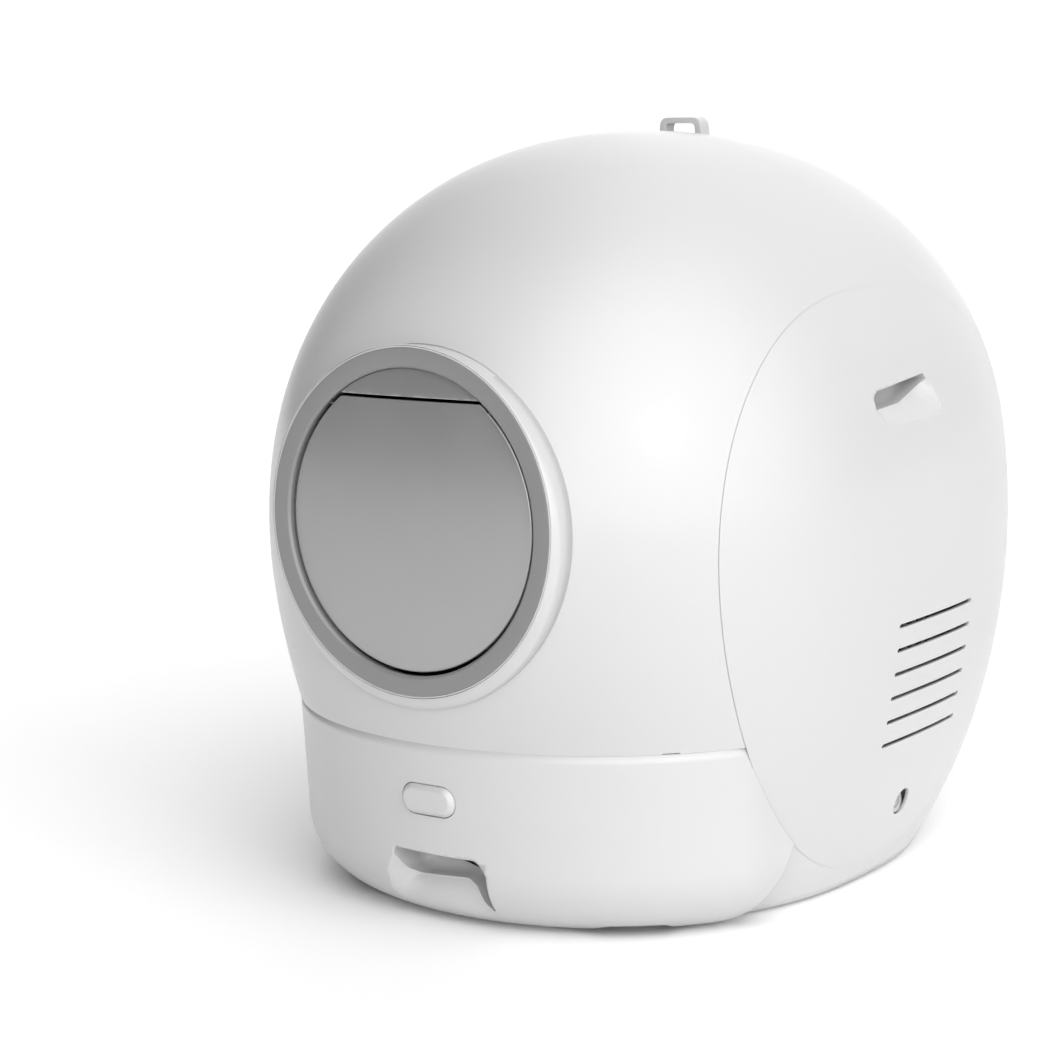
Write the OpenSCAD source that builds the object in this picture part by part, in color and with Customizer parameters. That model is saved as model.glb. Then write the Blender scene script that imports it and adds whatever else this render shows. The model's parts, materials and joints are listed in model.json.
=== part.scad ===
// Hooded cat litter box: an egg-shaped two-part housing on a round-nosed litter drawer.
// Millimetres, +Z up, the door faces -Y, the origin is on the floor under the middle of the box.

/* [Housing] */
// Width of the housing across its widest point
body_w = 490; // [480:1:500]
// Depth from the widest section to the front of the hood
front_depth = 290; // [284:1:294]
// Depth from the widest section to the back of the hood
back_depth = 305; // [298:1:312]
// Height of the hood's crown
body_h = 541; // [535:1:546]
// Place of the widest section along Y
waist_y = -11.5; // [-14:0.5:-9]
// Wall thickness of every moulded shell
wall = 3; // [2.6:0.1:3.4]
// Height at which the hood sits on the base
seam_z = 135; // [132:1:138]
// Distance from the middle plane to the flat that carries each side cover
side_flat_x = 197; // [195:0.5:199]

/* [Entrance] */
// Outer radius of the door ring
ring_r = 120; // [118:0.5:121]
// Inner radius of the door ring's lip
ring_bore_r = 105; // [104:0.5:106]
// Height of the ring's centre
ring_z = 291; // [289:0.5:293]
// Place of the ring's front face along Y, at its centre
ring_y = -288.5; // [-290:0.5:-287.5]
// Backward lean of the ring in degrees
ring_tilt = 2.5; // [2:0.1:3]
// Height of the flap's straight top edge above the ring's centre
chord_z = 83; // [81:0.5:85]
// How far the flap bulges forward
flap_dome = 8; // [6:0.5:9]

/* [Drawer] */
// How far the drawer front reaches back along the sides, along Y
drawer_end_y = -116.5; // [-119:0.5:-115]
// Radius of the drawer front's lower edge
chin_round = 48; // [44:1:52]
// Width of the pan's outside
pan_w = 296; // [290:1:298]
// Height of the pan's rim
pan_top_z = 122; // [118:1:124]

/* [Side covers] */
// Length of a vent slot
slot_len = 110; // [104:1:114]
// Height of a vent slot
slot_h = 3.2; // [2.8:0.1:3.6]
// Spacing of the vent slots
slot_pitch = 17.6; // [17:0.1:18]
// Height of the lowest vent slot
slot_z = 111; // [109:0.5:113]
// Length of the carrying grip
grip_len = 84; // [80:1:88]
// Height of the carrying grip
grip_h = 30; // [28:1:32]

/* [Hidden] */

$fn = 64;
// The housing's fall-off: widest height, depth of the part below it, power above, power below
width_fall = [243, 420, 2.15, 1.8];
front_fall = [270, 440, 2.15, 1.7];
back_fall = [310, 345, 2, 2.9];
front_power = 2.6;      // squareness of the outline towards the front
back_power = 2.45;      // squareness of the outline towards the back
draft = 0.036;          // how much the drawer front narrows per millimetre down
rake = 50.25;           // how far the drawer front's rear edge leans forward on its way down
rake_z = 57;            // height at which that edge turns upright
gap = 0.5;              // clearance between pieces that only meet
drawer_flat_x = side_flat_x + 1;
foot_h = 3;             // height of the rubber feet
foot_r = 11;
foot_places = [[-115, -160], [115, -160], [-112, 138], [112, 138]];
floor_top = foot_h + wall;
runner_h = 1.2;
runner_x = 120;         // how far out the drawer's runners lie
runner_w = 14;
sled_z = floor_top + runner_h + 0.3;
sled_t = 2.5;
pan_z = sled_z + sled_t;
flange_w = 16;          // width of the drawer front's upper flange
drawer_top = seam_z - 0.8;
cheek_x = side_flat_x - 2;  // middle of the hood's flat cheek
lip_w = 2.2;            // thickness of the upright lip inside the hood's rim
lip_out = 1.5;          // how far the lip stands in from the cheek
post_hole_r = 1.9;
tab_x = 75;             // middle of the tabs that join sled and drawer front
tab_w = 16;
pan_t = 2.5;
pan_front_y = -215;
pan_back_y = 150;
rings_up = 24;          // levels of the housing's surface
steps_round = 64;       // points round each level
lip_t = 10;             // depth of the ring's narrow lip
ring_depth = 28;        // depth of the whole ring
skirt_depth = 7;        // depth over which the hood's rim flares out around the ring
skirt_r = ring_r + 4.2; // outer radius of that rim at its foot
skirt_drop = 4.6;       // how much lower than the ring the rim's foot is centred
ring_back_r = ring_r - 5.5;
flap_r = ring_bore_r - 2.5;
flap_t = 5;
flap_recess = 3.5;      // flap edge behind the ring's face
hinge_d = 4.6;          // depth of the hinge's axis behind the ring's face
hinge_up = chord_z - 5; // height of the hinge's axis above the ring's centre
header_up = chord_z + 2.4;
rod_r = 1.5;
rod_half = 76;
grip_y = -11.5;
grip_z = 353;
slots = 6;
slot_y = 9;
lock_y = 7.5;
lock_z = 57;
loop_y = 60;
button_z = 95;
button_len = 46;
button_h = 22;
button_proud = 3;
button_back_y = -256.5;
button_travel = 3;
chin_bottom = 4;
fit = 0.05;             // radial running clearance of the hinge rod
white = [0.93, 0.93, 0.93];
pale = [0.86, 0.86, 0.87];
grey = [0.57, 0.57, 0.58];
dark = [0.16, 0.16, 0.17];
steel = [0.72, 0.72, 0.74];
screw_head_r = 3.6;
screw_r = 1.5;
cover_posts = [[-138, 250], [118, 250], [-88, 372], [72, 380]];
filter_w = 104;
filter_h = 56;
filter_z = 148;

// ---- The housing's surface ----
// Rounded fall-off from 1 at u = 0 to 0 at u = 1
function fall(u, p) = pow(max(0, 1 - pow(min(1, max(0, u)), p)), 1 / p);

// Share of the full half-size at height z, for a body whose crown is at top
function level(z, form, top) =
    z >= form[0] ? fall((z - form[0]) / (top - form[0]), form[2]) : fall((form[0] - z) / form[1], form[3]);

function half_w(z, t) = (body_w / 2 - t) * level(z, width_fall, body_h - t);
function front_d(z, t) = (front_depth - t) * level(z, front_fall, body_h - t);
function back_d(z, t) = (back_depth - t) * level(z, back_fall, body_h - t);

// Signed power, so that a superellipse closes through all four quarters
function spow(v, p) = sign(v) * pow(abs(v), p);

// One level's outline: a squarer front quarter and a rounder back quarter
function outline_x(a, w) = w * spow(cos(a), sin(a) < 0 ? 1 : 2 / back_power);
function outline_y(a, f, b) =
    waist_y + (sin(a) < 0 ? f * spow(sin(a), 2 / front_power) : b * spow(sin(a), 2 / back_power));

// The closed egg with every wall moved in by t
module egg(t) {
    top = body_h - t;
    heights = [for (i = [0 : rings_up - 1]) top * sin(90 * i / rings_up)];
    points = [
        for (z = heights, k = [0 : steps_round - 1])
            let (a = 360 * k / steps_round)
            [outline_x(a, half_w(z, t)), outline_y(a, front_d(z, t), back_d(z, t)), z],
        [0, waist_y, top]
    ];
    crown = len(points) - 1;
    faces = [
        [for (k = [0 : steps_round - 1]) k],
        for (i = [0 : rings_up - 2], k = [0 : steps_round - 1])
            let (n = (k + 1) % steps_round, lo = i * steps_round, hi = lo + steps_round)
            [lo + k, hi + k, hi + n, lo + n],
        for (k = [0 : steps_round - 1])
            let (n = (k + 1) % steps_round, lo = (rings_up - 1) * steps_round)
            [lo + k, crown, lo + n]
    ];
    polyhedron(points, faces, convexity = 6);
}

// ---- The drawer front's surface ----
function chin_inset(z) =
    z >= chin_round ? 0 : chin_round * (1 - sqrt(1 - pow((chin_round - z) / chin_round, 2)));
function chin_w(z, t) = half_w(seam_z, 0) - draft * (seam_z - z) - chin_inset(z) - t;
function chin_f(z, t) = front_d(seam_z, 0) - draft * (seam_z - z) - chin_inset(z) - t;
function chin_levels(z_low, z_high) = concat(
    [for (i = [0 : 7]) z_low + (chin_round - z_low) * (1 - cos(90 * i / 7))],
    [(chin_round + z_high) / 2, z_high]);

// The closed nose of the drawer, from z_low to z_high, with every wall moved in by t
module chin(t, z_low, z_high) {
    arc_steps = 40;
    heights = chin_levels(z_low, z_high);
    count = arc_steps + 1;
    points = [
        for (z = heights, k = [0 : arc_steps])
            let (a = 180 + 180 * k / arc_steps)
            [outline_x(a, chin_w(z, t)), outline_y(a, chin_f(z, t), 1), z]
    ];
    last = len(heights) - 1;
    faces = [
        [for (k = [0 : count - 1]) k],
        [for (k = [count - 1 : -1 : 0]) last * count + k],
        for (i = [0 : last - 1], k = [0 : count - 1])
            let (n = (k + 1) % count, lo = i * count, hi = lo + count)
            [lo + k, hi + k, hi + n, lo + n]
    ];
    polyhedron(points, faces, convexity = 4);
}

// Everything the drawer front may fill, seen from the front: flat sides with a round underside
module chin_trim(t, z_low, z_high) {
    lowest = z_low - 1;
    levels = concat([for (i = [0 : 9]) lowest + (chin_round - lowest) * (1 - cos(10 * i))], [z_high + 3]);
    right = [for (z = levels) [drawer_flat_x - t - chin_inset(z), z]];
    left = [for (i = [len(levels) - 1 : -1 : 0]) [t + chin_inset(levels[i]) - drawer_flat_x, levels[i]]];
    rotate([90, 0, 0]) translate([0, 0, -400]) linear_extrude(900) polygon(concat(right, left));
}

// Where a cover's front edge lies at height z
function cover_edge_y(z) =
    waist_y - front_d(z, 0) * pow(1 - pow(side_flat_x / half_w(z, 0), 2), 1 / front_power);

// The lower front part of a cover's outline, moved out by d and extruded by t along X
module cover_outline(d, t) {
    edge = [for (z = [40 : 8 : 152]) [cover_edge_y(z) - d, z]];
    rotate([90, 0, 90]) linear_extrude(t) polygon(concat([[100, 40]], edge, [[100, 152]]));
}

// Everything in front of the drawer's raked rear edge, moved back by d
module drawer_zone(d) {
    y_top = drawer_end_y + d;
    translate([-300, 0, 0]) rotate([90, 0, 90]) linear_extrude(600) polygon([
        [-500, -10], [y_top - rake, -10], [y_top, rake_z], [y_top, 200], [-500, 200]
    ]);
}

// ---- Helpers ----
// Joins everything inside into one moulded skin
module moulded() { resize([0, 0, 0]) children(); }

// A box given by its two corners
module block(low, high) { translate(low) cube(high - low); }

// Everything between two heights
module between(low, high) { block([-400, -450, low], [400, 450, high]); }

// A cylinder along X from x0 to x1
module bar_x(r, x0, x1) { translate([x0, 0, 0]) rotate([0, 90, 0]) cylinder(r = r, h = x1 - x0); }

// A cylinder along Y from y0 to y1
module bar_y(r, y0, y1) { translate([0, y0, 0]) rotate([-90, 0, 0]) cylinder(r = r, h = y1 - y0); }

// Draws the children in the ring's own frame: X across, Y into the hood, Z up the face
module in_ring() { translate([0, ring_y, ring_z]) rotate([-ring_tilt, 0, 0]) children(); }

// A flat stadium, length along X and height along Y
module stadium(length, height) {
    r = height / 2;
    square([length - height, height], center = true);
    translate([-(length - height) / 2, 0]) circle(r);
    translate([(length - height) / 2, 0]) circle(r);
}

// A rectangle with round corners
module round_rect(w, h, r) {
    square([w - 2 * r, h], center = true);
    square([w, h - 2 * r], center = true);
    for (x = [-1, 1], y = [-1, 1]) translate([x * (w / 2 - r), y * (h / 2 - r)]) circle(r);
}

// A thin outline plate facing -Y
module plate_y(y, t) {
    translate([0, y, 0]) rotate([90, 0, 0]) translate([0, 0, -t]) linear_extrude(t) children();
}

// A thin outline plate facing +X, drawn with length along Y
module plate_x(x, t) { translate([x, 0, 0]) rotate([90, 0, 90]) linear_extrude(t) children(); }

// ---- Pockets ----
// Finger pocket in the drawer front: wider below, deepest under its upper edge
module drawer_pocket(grow) {
    $fn = 24;
    hull() {
        plate_y(-300, 2) translate([0, 34]) polygon_pocket(40 + grow, 48 + grow, 25 + grow);
        plate_y(-272, 2) translate([0, 34]) polygon_pocket(35 + grow, 43 + grow, 22 + grow);
        plate_y(-246 + grow, 2) translate([0, 50]) round_rect(58 + 2 * grow, 12 + 2 * grow, 5 + grow);
    }
}

// Upper half-width, lower half-width and half-height of the pocket's mouth
module polygon_pocket(top, low, h) {
    hull() {
        for (s = [-1, 1]) {
            translate([s * (top - 8), h - 8]) circle(8);
            translate([s * (low - 9), 9 - h]) circle(9);
        }
    }
}

// Carrying pocket in the right side cover
module grip_pocket(grow) {
    $fn = 24;
    translate([0, grip_y, grip_z]) hull() {
        plate_x(240, 2) round_rect(grip_len + 10 + 2 * grow, grip_h + 8 + 2 * grow, 9 + grow);
        plate_x(226, 2) round_rect(grip_len - 4 + 2 * grow, grip_h - 2 + 2 * grow, 8 + grow);
        translate([0, 0, 6]) plate_x(202 - grow, 2)
            round_rect(grip_len - 30 + 2 * grow, 14 + 2 * grow, 6 + grow);
    }
}

// Drop-shaped opening for the hood lock, facing +X
module lock_drop(r) {
    hull() {
        circle(r);
        translate([0, r * 1.15]) circle(r * 0.45);
    }
}

// ---- Base ----
module base_shell() {
    color(white) moulded() union() {
        difference() {
            intersection() {
                egg(0);
                block([-side_flat_x + 1, -300, foot_h], [side_flat_x - 1, 320, seam_z - 0.4]);
            }
            intersection() {
                egg(wall);
                block([-side_flat_x + 1 + wall, -400, floor_top], [side_flat_x - 1 - wall, 400, seam_z + 1]);
            }
            intersection() {
                drawer_zone(1);
                between(floor_top, seam_z + 1);
            }
            for (s = [-1, 1]) intersection() {
                drawer_zone(1);
                block([s > 0 ? 140 : -300, -400, 0], [s > 0 ? 300 : -140, 0, 20]);
            }
        }
        base_lip();
    }
}

// Upright lip inside the hood's lower rim
module base_lip() {
    difference() {
        intersection() {
            egg(wall + gap);
            block([-side_flat_x + lip_out + wall, drawer_end_y + 6, seam_z - 6],
                [side_flat_x - lip_out - wall, 320, seam_z + 7]);
        }
        intersection() {
            egg(wall + gap + lip_w);
            block([-side_flat_x + 4 + wall, -400, seam_z - 8], [side_flat_x - 4 - wall, 400, seam_z + 9]);
        }
    }
    // webs that carry the lip off the flat sides
    for (s = [-1, 1]) {
        x = s * (side_flat_x - wall - 2.75);
        block([x - 1.3, drawer_end_y + 6, seam_z - 10], [x + 1.9 * (s > 0 ? 1 : 0.68), 60, seam_z - 4]);
    }
}

module base_feet() {
    color(dark) for (p = foot_places) translate([p[0], p[1], 0]) cylinder(r = foot_r, h = foot_h);
}

module runner(s) {
    color(pale) block([s * runner_x - runner_w / 2, -172, floor_top],
        [s * runner_x + runner_w / 2, 135, floor_top + runner_h]);
}
module runner_left() { runner(-1); }
module runner_right() { runner(1); }

// ---- Hood ----
module hood_shell() {
    color(white) moulded() difference() {
        union() {
            intersection() {
                egg(0);
                block([-side_flat_x + 1, -320, seam_z], [side_flat_x - 1, 320, 600]);
            }
            ring_skirt();
        }
        intersection() {
            egg(wall);
            block([-side_flat_x + 1 + wall, -400, seam_z - 5], [side_flat_x - 1 - wall, 400, 600]);
        }
        in_ring() bar_y(ring_r + 0.3, -20, 60);
        for (s = [-1, 1]) {
            block([s * cheek_x - 8, slot_y - filter_w / 2 + 4, filter_z + 4],
                [s * cheek_x + 8, slot_y + filter_w / 2 - 4, filter_z + filter_h - 4]);
            for (p = cover_posts) translate([s * cheek_x, p[0], p[1]]) bar_x(post_hole_r, -6, 6);
            translate([s * 14, loop_y, 500]) cylinder(r = post_hole_r, h = 60, $fn = 16);
            // pry slot at the seam
            translate([s * 163, -217, seam_z]) rotate([0, 0, s * 45]) cube([12, 9, 1.6], center = true);
        }
    }
}

// Rim around the door ring, flared out towards its foot
module ring_skirt() {
    in_ring() hull() {
        bar_y(ring_r + 1.2, 0.6, 2, $fn = 96);
        translate([0, 0, -skirt_drop]) bar_y(skirt_r, skirt_depth, ring_depth - 4, $fn = 96);
    }
}

module side_cover(s) {
    color(white) moulded() scale([s, 1, 1]) {
        difference() {
            intersection() {
                egg(0);
                block([side_flat_x, -300, 0], [300, 320, 600]);
            }
            intersection() {
                egg(wall);
                block([side_flat_x - 1, -300, 0], [300, 320, 600]);
            }
            grip_pocket(0);
            for (i = [0 : slots - 1])
                translate([0, slot_y, slot_z + i * slot_pitch]) plate_x(190, 80)
                    stadium(slot_len, slot_h, $fn = 16);
            translate([0, lock_y, lock_z]) plate_x(190, 80) lock_drop(10, $fn = 32);
        }
        difference() {
            intersection() {
                egg(1);
                for (p = cover_posts) translate([0, p[0], p[1]]) bar_x(4.5, side_flat_x, 260, $fn = 20);
            }
            for (p = cover_posts) translate([0, p[0], p[1]]) bar_x(1.7, 190, side_flat_x + 12, $fn = 16);
        }
    }
}
module side_cover_right() { side_cover(1); }
module side_cover_left() { side_cover(-1); }

module grip_cup(s) {
    color(white) moulded() scale([s, 1, 1]) intersection() {
        difference() {
            grip_pocket(2);
            grip_pocket(0);
        }
        egg(wall);
        block([side_flat_x, -200, 200], [300, 200, 500]);
    }
}
module grip_cup_right() { grip_cup(1); }
module grip_cup_left() { grip_cup(-1); }

module filter_frame(s) {
    x = s > 0 ? side_flat_x - 1 : -side_flat_x - 11;
    color(pale) difference() {
        block([x, slot_y - filter_w / 2 - 4, filter_z - 3],
            [x + 12, slot_y + filter_w / 2 + 4, filter_z + filter_h + 3]);
        block([x - (s > 0 ? 1 : -2), slot_y - filter_w / 2, filter_z],
            [x + 12 + (s > 0 ? -2 : 1), slot_y + filter_w / 2, filter_z + filter_h]);
        for (i = [0 : 7])
            block([x - 2, slot_y - filter_w / 2 + 3 + i * 13, filter_z + 4],
                [x + 14, slot_y - filter_w / 2 + 10 + i * 13, filter_z + filter_h - 4]);
    }
}
module filter_frame_right() { filter_frame(1); }
module filter_frame_left() { filter_frame(-1); }

module carbon_filter(s) {
    x = s > 0 ? side_flat_x - 1 : -side_flat_x - 9;
    color(dark) block([x, slot_y - filter_w / 2, filter_z],
        [x + 10, slot_y + filter_w / 2, filter_z + filter_h]);
}
module carbon_filter_right() { carbon_filter(1); }
module carbon_filter_left() { carbon_filter(-1); }

// A pan-head screw along +X, with its head's underside at x = 0
module screw_x(length) {
    bar_x(screw_head_r, -2.2, 0);
    bar_x(screw_r, 0, length);
}

module cover_screws(s) {
    color(steel) for (p = cover_posts)
        translate([s * (side_flat_x - 1 - wall), p[0], p[1]]) rotate([0, s > 0 ? 0 : 180, 0]) screw_x(14);
}
module cover_screws_right() { cover_screws(1); }
module cover_screws_left() { cover_screws(-1); }

// Small arch on the crown, behind the highest point
module top_loop() {
    base_z = 526;
    top_z = 548;
    color(white) moulded() difference() {
        translate([0, loop_y, 0]) plate_y(-6, 12) hull() {
            for (s = [-1, 1]) {
                translate([s * 17, base_z + 2]) circle(2, $fn = 24);
                translate([s * 11, top_z - 8]) circle(8, $fn = 32);
            }
        }
        translate([0, loop_y, 0]) plate_y(-8, 16) hull() {
            for (s = [-1, 1]) {
                translate([s * 13, base_z - 4]) circle(2, $fn = 24);
                translate([s * 9, top_z - 9]) circle(5, $fn = 32);
            }
        }
        egg(0);
    }
}

module loop_screws() {
    color(steel) for (s = [-1, 1]) translate([s * 14, loop_y, 519]) {
        cylinder(r = screw_head_r, h = 2.2);
        cylinder(r = screw_r, h = 9);
    }
}

// ---- Entrance ----
module door_ring() {
    color(grey) in_ring() difference() {
        rotate([-90, 0, 0]) rotate_extrude($fn = 180) polygon([
            [ring_bore_r, 1.5], [ring_bore_r + 1.5, 0], [ring_r - 1.5, 0], [ring_r - 0.45, 0.45],
            [ring_r, 1.5], [ring_r, ring_depth], [ring_back_r, ring_depth], [ring_back_r, lip_t],
            [ring_bore_r + 2, lip_t], [ring_bore_r + 2, 5], [ring_bore_r, 5]
        ]);
        translate([0, hinge_d, hinge_up]) bar_x(rod_r, -rod_half, rod_half);
        for (a = [30 : 60 : 330]) rotate([0, a, 0])
            translate([ring_r - 2.75, 0, 0]) bar_y(1.2, ring_depth - 9, ring_depth + 1);
    }
}

module ring_retainer() {
    color(pale) in_ring() difference() {
        bar_y(ring_r + 8, ring_depth, ring_depth + 3, $fn = 180);
        bar_y(ring_back_r, ring_depth - 1, ring_depth + 4, $fn = 180);
        for (a = [30 : 60 : 330]) rotate([0, a, 0])
            translate([ring_r - 2.75, 0, 0]) bar_y(1.3, ring_depth - 1, ring_depth + 4);
    }
}

module ring_screws() {
    color(steel) in_ring() for (a = [30 : 60 : 330]) rotate([0, a, 0]) translate([ring_r - 2.75, 0, 0]) {
        bar_y(2.6, ring_depth + 3, ring_depth + 5);
        bar_y(1.2, ring_depth - 8, ring_depth + 3);
    }
}

module door_header() {
    color(grey) in_ring() intersection() {
        bar_y(ring_bore_r, flap_recess, flap_recess + 1.5, $fn = 180);
        block([-100, 0, header_up], [100, 20, 130]);
    }
    color(grey) in_ring() intersection() {
        bar_y(ring_bore_r + 2, 5, 8, $fn = 180);
        block([-100, 0, header_up], [100, 20, 130]);
    }
}

module hinge_rod() {
    color(steel) in_ring() translate([0, hinge_d, hinge_up]) bar_x(rod_r, -rod_half, rod_half);
}

module door_flap() {
    cap_r = (flap_r * flap_r + flap_dome * flap_dome) / (2 * flap_dome);
    color(grey) in_ring() difference() {
        intersection() {
            bar_y(flap_r, flap_recess - flap_dome - 1, flap_recess + flap_t, $fn = 180);
            translate([0, flap_recess - flap_dome + cap_r, 0]) sphere(r = cap_r, $fn = 180);
        }
        translate([0, flap_recess - flap_dome + cap_r + flap_t, 0]) intersection() {
            sphere(r = cap_r, $fn = 180);
            translate([0, -cap_r, 0]) bar_y(flap_r - 12, -20, 30, $fn = 120);
        }
        block([-200, -50, chord_z], [200, 50, 200]);
        translate([0, hinge_d, hinge_up]) bar_x(rod_r + fit, -120, 120);
    }
}

// ---- Drawer ----
module drawer_front() {
    color(white) moulded() difference() {
        intersection() {
            chin(0, chin_bottom, drawer_top);
            chin_trim(0, chin_bottom, drawer_top);
            drawer_zone(0);
        }
        intersection() {
            chin(wall, chin_bottom + wall, drawer_top - wall);
            chin_trim(wall + 2, chin_bottom + wall, drawer_top - wall);
            drawer_zone(1);
        }
        // room for the base's floor and the pan's mouth
        block([-143, -222, 0], [143, -100, chin_bottom + wall + 1]);
        intersection() {
            chin(flange_w, chin_round / 2, seam_z + 1);
            block([flange_w - side_flat_x, -400, seam_z - 6], [side_flat_x - flange_w, -60, seam_z + 2]);
        }
        drawer_pocket(0);
        translate([0, 0, button_z]) plate_y(-300, 60) stadium(button_len + 1, button_h + 1, $fn = 48);
        // the covers' round edges
        for (s = [-1, 1]) translate([s > 0 ? side_flat_x - 0.7 : -300 + 0.7, 0, 0]) cover_outline(0.8, 103);
    }
}

module drawer_grip_cup() {
    color(white) moulded() intersection() {
        difference() {
            drawer_pocket(2);
            drawer_pocket(0);
        }
        chin(wall, chin_bottom + wall, seam_z - 6);
    }
}

// The pan's outline: round nose, rounded back, moved in by t
module pan_outline(t) {
    nose_r = 110;
    tail_r = 70;
    half = pan_w / 2;
    intersection() {
        translate([-half + t, pan_front_y + t]) square([pan_w - 2 * t, pan_back_y - pan_front_y - 2 * t]);
        union() {
            translate([-half + t, pan_front_y + nose_r])
                square([pan_w - 2 * t, pan_back_y - pan_front_y - nose_r - tail_r]);
            translate([-half + nose_r, pan_front_y + t]) square([pan_w - 2 * nose_r, 200]);
            translate([-half + tail_r, 0]) square([pan_w - 2 * tail_r, pan_back_y - t]);
            for (s = [-1, 1]) {
                translate([s * (half - nose_r), pan_front_y + nose_r]) circle(nose_r - t, $fn = 96);
                translate([s * (half - tail_r), pan_back_y - tail_r]) circle(tail_r - t, $fn = 96);
            }
        }
    }
}

module drawer_sled() {
    color(white) {
        translate([0, 0, sled_z]) linear_extrude(sled_t) pan_outline(-1);
        for (s = [-1, 1]) block([s * tab_x - tab_w / 2, -228, sled_z],
            [s * tab_x + tab_w / 2, -205, sled_z + sled_t]);
    }
}

module sled_screws() {
    color(steel) for (s = [-1, 1]) translate([s * tab_x, -224, sled_z + sled_t]) {
        cylinder(r = screw_head_r, h = 2);
    }
}

module litter_pan() {
    color(pale) difference() {
        union() {
            translate([0, 0, pan_z]) linear_extrude(pan_top_z - pan_z) pan_outline(0);
            translate([0, 0, pan_top_z - 3]) linear_extrude(3) pan_outline(-3);
        }
        translate([0, 0, pan_z + pan_t]) linear_extrude(200) pan_outline(pan_t);
    }
}

// Frame that holds a bag's edge on the pan
module liner_rim() {
    color(grey) difference() {
        translate([0, 0, pan_top_z]) linear_extrude(2.5) pan_outline(-3);
        translate([0, 0, pan_top_z - 1]) linear_extrude(5) pan_outline(10);
    }
}

// ---- Drawer latch ----
module latch_housing() {
    color(pale) difference() {
        block([-32, -262, button_z - 17], [32, -244, button_z + 17]);
        translate([0, 0, button_z]) plate_y(-270, 22) stadium(button_len + 1, button_h + 1, $fn = 48);
    }
}

module latch_button() {
    front = waist_y - chin_f(button_z, 0) - button_proud;
    color(white) translate([0, 0, button_z]) plate_y(front, button_back_y - front)
        stadium(button_len, button_h, $fn = 48);
}

module latch_spring() {
    color(steel) translate([0, 0, button_z]) difference() {
        bar_y(5, button_back_y + button_travel + 0.3, -248);
        bar_y(3.6, button_back_y, -240);
    }
}

// ---- Hood locks ----
module lock_button(s) {
    color(pale) translate([0, lock_y, lock_z]) difference() {
        bar_x(8.6, s > 0 ? 200.5 : -207, s > 0 ? 207 : -200.5);
        bar_x(5.5, s > 0 ? 205.8 : -220, s > 0 ? 220 : -205.8);
    }
}
module lock_button_right() { lock_button(1); }
module lock_button_left() { lock_button(-1); }

base_shell();
base_feet();
runner_left();
runner_right();
hood_shell();
side_cover_right();
side_cover_left();
grip_cup_right();
grip_cup_left();
filter_frame_right();
filter_frame_left();
carbon_filter_right();
carbon_filter_left();
cover_screws_right();
cover_screws_left();
top_loop();
loop_screws();
door_ring();
ring_retainer();
ring_screws();
door_header();
hinge_rod();
door_flap();
drawer_front();
drawer_grip_cup();
drawer_sled();
sled_screws();
litter_pan();
liner_rim();
latch_housing();
latch_button();
latch_spring();
lock_button_right();
lock_button_left();
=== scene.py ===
import bpy
import bmesh
import json
import math
import numpy as np
from mathutils import Matrix, Vector
from mathutils.bvhtree import BVHTree
from mathutils.interpolate import poly_3d_calc


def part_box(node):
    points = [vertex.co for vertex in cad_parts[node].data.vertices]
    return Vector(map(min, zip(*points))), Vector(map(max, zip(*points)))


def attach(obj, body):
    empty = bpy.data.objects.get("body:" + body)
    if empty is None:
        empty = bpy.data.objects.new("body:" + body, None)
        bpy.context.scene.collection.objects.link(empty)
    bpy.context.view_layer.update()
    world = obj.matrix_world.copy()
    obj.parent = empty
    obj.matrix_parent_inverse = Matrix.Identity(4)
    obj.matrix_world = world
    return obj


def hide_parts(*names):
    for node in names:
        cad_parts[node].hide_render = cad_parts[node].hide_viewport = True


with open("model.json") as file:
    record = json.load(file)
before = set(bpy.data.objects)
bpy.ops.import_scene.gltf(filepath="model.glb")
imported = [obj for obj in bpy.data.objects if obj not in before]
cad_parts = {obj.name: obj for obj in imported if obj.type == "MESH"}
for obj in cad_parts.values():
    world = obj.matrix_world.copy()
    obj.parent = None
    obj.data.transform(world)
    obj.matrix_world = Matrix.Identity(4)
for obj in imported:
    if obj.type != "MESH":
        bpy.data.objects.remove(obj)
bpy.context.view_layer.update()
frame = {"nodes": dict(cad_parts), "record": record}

# ---- Driving dimensions, in millimetres in the frame ----
MM = 0.001
BODY_W = 489.94           # housing width
FRONT_DEPTH = 290.0       # widest section to the front of the hood
BACK_DEPTH = 304.98       # widest section to the back of the hood
BODY_H = 541.0            # height of the crown
WAIST_Y = -11.5           # where the widest section lies
WALL = 3.0                # moulded wall
SEAM_Z = 135.0            # hood rests here
FLAT_X = 197.0            # plane that each side cover is set on
CHIN_ROUND = 48.0         # underside radius of the drawer front
DRAWER_FLAT_X = FLAT_X + 1.0  # flat sides of the drawer front
DRAWER_END_Y = -116.5     # top of the drawer front's raked rear edge
RING_TILT = math.radians(2.5)     # the entrance leans back
CHORD_Z = 83.0            # flap's straight edge above the ring's centre
RING_STEPS = 256          # steps round the ring
FLANGE_W = 16.0           # drawer front's upper flange
SKIRT_DROP = 4.6          # how much lower than the ring the foot of the rim round it is centred
HEADER_UP = CHORD_Z + 2.4     # lower edge of the fixed segment above the flap
FRONT_POWER = 2.6         # how square the housing's outline is in front of its widest section
BACK_POWER = 2.45         # and behind it
NOSE_TAPER = 0.036        # how much the drawer front draws in per millimetre below the seam
SKIN_STEP = 0.6           # a crown fitting's foot is sunk this deep into the skin

# How far cutters reach past the housing
OUT_X = 300
OUT_Y = 330
OUT_Z = 600

# Height of the widest level, how far below it the curve would end, and the curve's powers above and below
WIDTH_CURVE = (243, 420, 2.15, 1.8)
FRONT_CURVE = (270, 440, 2.15, 1.7)
BACK_CURVE = (310, 345, 2.0, 2.9)

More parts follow.
